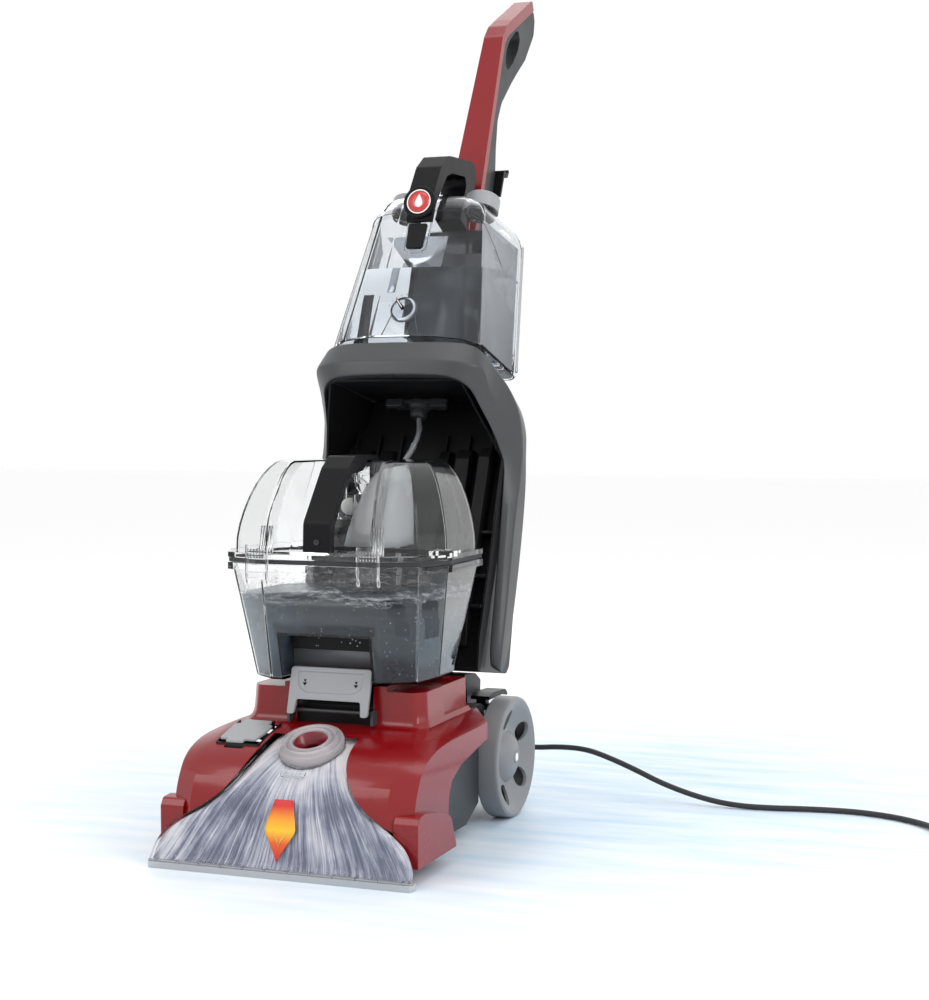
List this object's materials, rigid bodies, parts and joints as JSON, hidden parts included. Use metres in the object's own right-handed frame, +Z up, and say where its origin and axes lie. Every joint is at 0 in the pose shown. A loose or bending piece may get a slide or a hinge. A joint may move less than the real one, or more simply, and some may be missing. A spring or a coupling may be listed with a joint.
{
  "type": "upright carpet cleaner",
  "caption": "Upright carpet cleaner with a wide clear nozzle, scrubbing brushes, lift-off dirty and clean water tanks, and a reclining handle.",
  "frame": {"origin": "centre of the machine's footprint box on the floor, cord left out", "axes": "+Z up, -Y towards the nozzle, +X to the side with the power pedal"},
  "size_m": [0.935, 0.8189, 1.0749],
  "materials": {
    "red_shell": "glossy deep red",
    "black": "satin black",
    "dark_grey": "fine matte charcoal",
    "mid_grey": "satin mid grey",
    "light_grey": "satin light grey",
    "clear": "clear polycarbonate",
    "smoky_clear": "smoky clear polycarbonate",
    "rubber": "matt rubber",
    "cord_black": "satin black vinyl",
    "steel": "turned steel",
    "motor": "cast aluminium",
    "bristle": "blue nylon bristle",
    "float": "white float"
  },
  "bodies": {
    "base": {"hood_shell": "red_shell", "nozzle_window": "clear", "nozzle_back": "dark_grey", "nozzle_lip": "clear", "tank_deck": "black", "base_chassis": "dark_grey", "brush_housing": "dark_grey", "brush_motor": "motor", "suction_motor": "motor", "solution_pump": "black", "rear_cover": "dark_grey", "release_bracket": "mid_grey", "hose_port": "dark_grey", "door_hinge": "black", "base_screws": "steel", "strain_relief": "rubber", "power_cord": "cord_black", "cord_coil": "cord_black", "cord_plug": "cord_black", "wheel_axle": "steel"},
    "pinion": {"drive_pinion": "black"},
    "wheel_r": {"wheel_right": "mid_grey"},
    "wheel_l": {"wheel_left": "mid_grey"},
    "pedal_power": {"power_pedal": "black"},
    "pedal_recline": {"recline_pedal": "black"},
    "release": {"release_handle": "light_grey"},
    "door": {"port_door": "light_grey"},
    "dirty_tank": {"tank_tub": "clear", "tank_gasket": "rubber"},
    "lid": {"tank_lid": "clear", "tank_handle": "black"},
    "clip_right": {"latch_right": "clear"},
    "clip_left": {"latch_left": "clear"},
    "float": {"float_ball": "float"},
    "upright": {"bezel_frame": "mid_grey", "bay_liner": "black", "feed_tube": "clear", "upright_shell": "dark_grey", "pivot_yoke": "dark_grey", "back_spine": "dark_grey", "handle_front": "red_shell", "handle_rear": "dark_grey"},
    "trigger_lever": {"trigger": "red_shell"},
    "push_rod": {"trigger_rod": "black"},
    "hook": {"cord_hook": "black"},
    "clean": {"clean_tank": "smoky_clear", "carry_handle": "black", "badge_disc": "black"},
    "tab": {"latch_tab": "black"},
    "filler_right": {"cap_right": "light_grey"},
    "filler_left": {"cap_left": "light_grey"},
    "dial": {"mix_dial": "mid_grey"},
    "brush_1": {"scrub_brush_1": "bristle"},
    "brush_2": {"scrub_brush_2": "bristle"},
    "brush_3": {"scrub_brush_3": "bristle"},
    "brush_4": {"scrub_brush_4": "bristle"},
    "brush_5": {"scrub_brush_5": "bristle"}
  },
  "joints": [
    {"name": "wheel_right_spin", "type": "hinge", "parent": "base", "child": "wheel_r", "pos_m": [0.1265, -0.0394, 0.0725], "axis": [1, 0, 0], "continuous": true},
    {"name": "wheel_left_spin", "type": "hinge", "parent": "base", "child": "wheel_l", "pos_m": [-0.1265, -0.0394, 0.0725], "axis": [1, 0, 0], "continuous": true},
    {"name": "handle_recline", "type": "hinge", "parent": "base", "child": "upright", "pos_m": [0, -0.0144, 0.1], "axis": [-1, 0, 0], "range_deg": [0, 45]},
    {"name": "brush_1_spin", "type": "hinge", "parent": "base", "child": "brush_1", "pos_m": [-0.096, -0.3174, 0.05], "axis": [0, 0, 1], "continuous": true},
    {"name": "brush_2_spin", "type": "hinge", "parent": "base", "child": "brush_2", "pos_m": [-0.048, -0.3174, 0.05], "axis": [0, 0, 1], "continuous": true},
    {"name": "brush_3_spin", "type": "hinge", "parent": "base", "child": "brush_3", "pos_m": [0, -0.3174, 0.05], "axis": [0, 0, 1], "continuous": true},
    {"name": "brush_4_spin", "type": "hinge", "parent": "base", "child": "brush_4", "pos_m": [0.048, -0.3174, 0.05], "axis": [0, 0, 1], "continuous": true},
    {"name": "brush_5_spin", "type": "hinge", "parent": "base", "child": "brush_5", "pos_m": [0.096, -0.3174, 0.05], "axis": [0, 0, 1], "continuous": true},
    {"name": "pinion_spin", "type": "hinge", "parent": "base", "child": "pinion", "pos_m": [0, -0.279, 0.054], "axis": [0, 0, 1], "continuous": true},
    {"name": "release_tilt", "type": "hinge", "parent": "base", "child": "release", "pos_m": [0, -0.2684, 0.155], "axis": [1, 0, 0], "range_deg": [0, 35], "stiffness_Nm_per_rad": 0.6},
    {"name": "port_door_hinge", "type": "hinge", "parent": "base", "child": "door", "pos_m": [-0.081, -0.2849, 0.1401], "axis": [-1, 0, 0], "range_deg": [0, 105]},
    {"name": "power_pedal_press", "type": "hinge", "parent": "base", "child": "pedal_power", "pos_m": [0.093, -0.0314, 0.13], "axis": [-1, 0, 0], "range_deg": [0, 8], "stiffness_Nm_per_rad": 3},
    {"name": "recline_pedal_press", "type": "hinge", "parent": "base", "child": "pedal_recline", "pos_m": [-0.093, -0.0314, 0.13], "axis": [-1, 0, 0], "range_deg": [0, 8], "stiffness_Nm_per_rad": 3},
    {"name": "dirty_tank_lift", "type": "slide", "parent": "base", "child": "dirty_tank", "axis": [0, -0.2, 0.9798], "range_m": [0, 0.1]},
    {"name": "lid_lift", "type": "slide", "parent": "dirty_tank", "child": "lid", "axis": [0, 0, 1], "range_m": [0, 0.06]},
    {"name": "clip_right_swing", "type": "hinge", "parent": "lid", "child": "clip_right", "pos_m": [0.066, -0.3168, 0.3375], "axis": [-1, 0, 0], "range_deg": [0, 30], "stiffness_Nm_per_rad": 0.02},
    {"name": "clip_left_swing", "type": "hinge", "parent": "lid", "child": "clip_left", "pos_m": [-0.066, -0.3168, 0.3375], "axis": [-1, 0, 0], "range_deg": [0, 30], "stiffness_Nm_per_rad": 0.02},
    {"name": "float_rise", "type": "slide", "parent": "lid", "child": "float", "axis": [0, 0, 1], "range_m": [0, 0.038]},
    {"name": "clean_tank_lift", "type": "slide", "parent": "upright", "child": "clean", "axis": [0, 0.4368, 0.8996], "range_m": [0, 0.12]},
    {"name": "cap_right_turn", "type": "hinge", "parent": "clean", "child": "filler_right", "pos_m": [0.05, 0.08505, 0.74905], "axis": [0, 0.4368, 0.8996], "range_deg": [0, 90]},
    {"name": "cap_left_turn", "type": "hinge", "parent": "clean", "child": "filler_left", "pos_m": [-0.05, 0.08505, 0.74905], "axis": [0, 0.4368, 0.8996], "range_deg": [0, 90]},
    {"name": "dial_turn", "type": "hinge", "parent": "clean", "child": "dial", "pos_m": [0, -0.05647, 0.61099], "axis": [0, -0.8996, 0.4368], "range_deg": [0, 180]},
    {"name": "latch_tab_press", "type": "slide", "parent": "clean", "child": "tab", "axis": [0, 0.8996, -0.4368], "range_m": [0, 0.003], "stiffness_N_per_m": 400},
    {"name": "trigger_pull", "type": "hinge", "parent": "upright", "child": "trigger_lever", "pos_m": [0, 0.29184, 1.00825], "axis": [-1, 0, 0], "range_deg": [0, 8], "stiffness_Nm_per_rad": 0.4},
    {"name": "trigger_rod_slide", "type": "slide", "parent": "upright", "child": "push_rod", "axis": [0, 0.4368, 0.8996], "range_m": [-0.0031, 0]},
    {"name": "cord_hook_turn", "type": "hinge", "parent": "upright", "child": "hook", "pos_m": [0, 0.22362, 0.79404], "axis": [0, 0.8996, -0.4368], "range_deg": [0, 180]}
  ],
  "couplings": [
    {"joint": "brush_1_spin", "follows": "brush_3_spin", "ratio": 1},
    {"joint": "brush_2_spin", "follows": "brush_3_spin", "ratio": -1},
    {"joint": "brush_4_spin", "follows": "brush_3_spin", "ratio": -1},
    {"joint": "brush_5_spin", "follows": "brush_3_spin", "ratio": 1},
    {"joint": "pinion_spin", "follows": "brush_3_spin", "ratio": -1.6667},
    {"joint": "trigger_rod_slide", "follows": "trigger_pull", "m_per_rad": -0.0215}
  ]
}
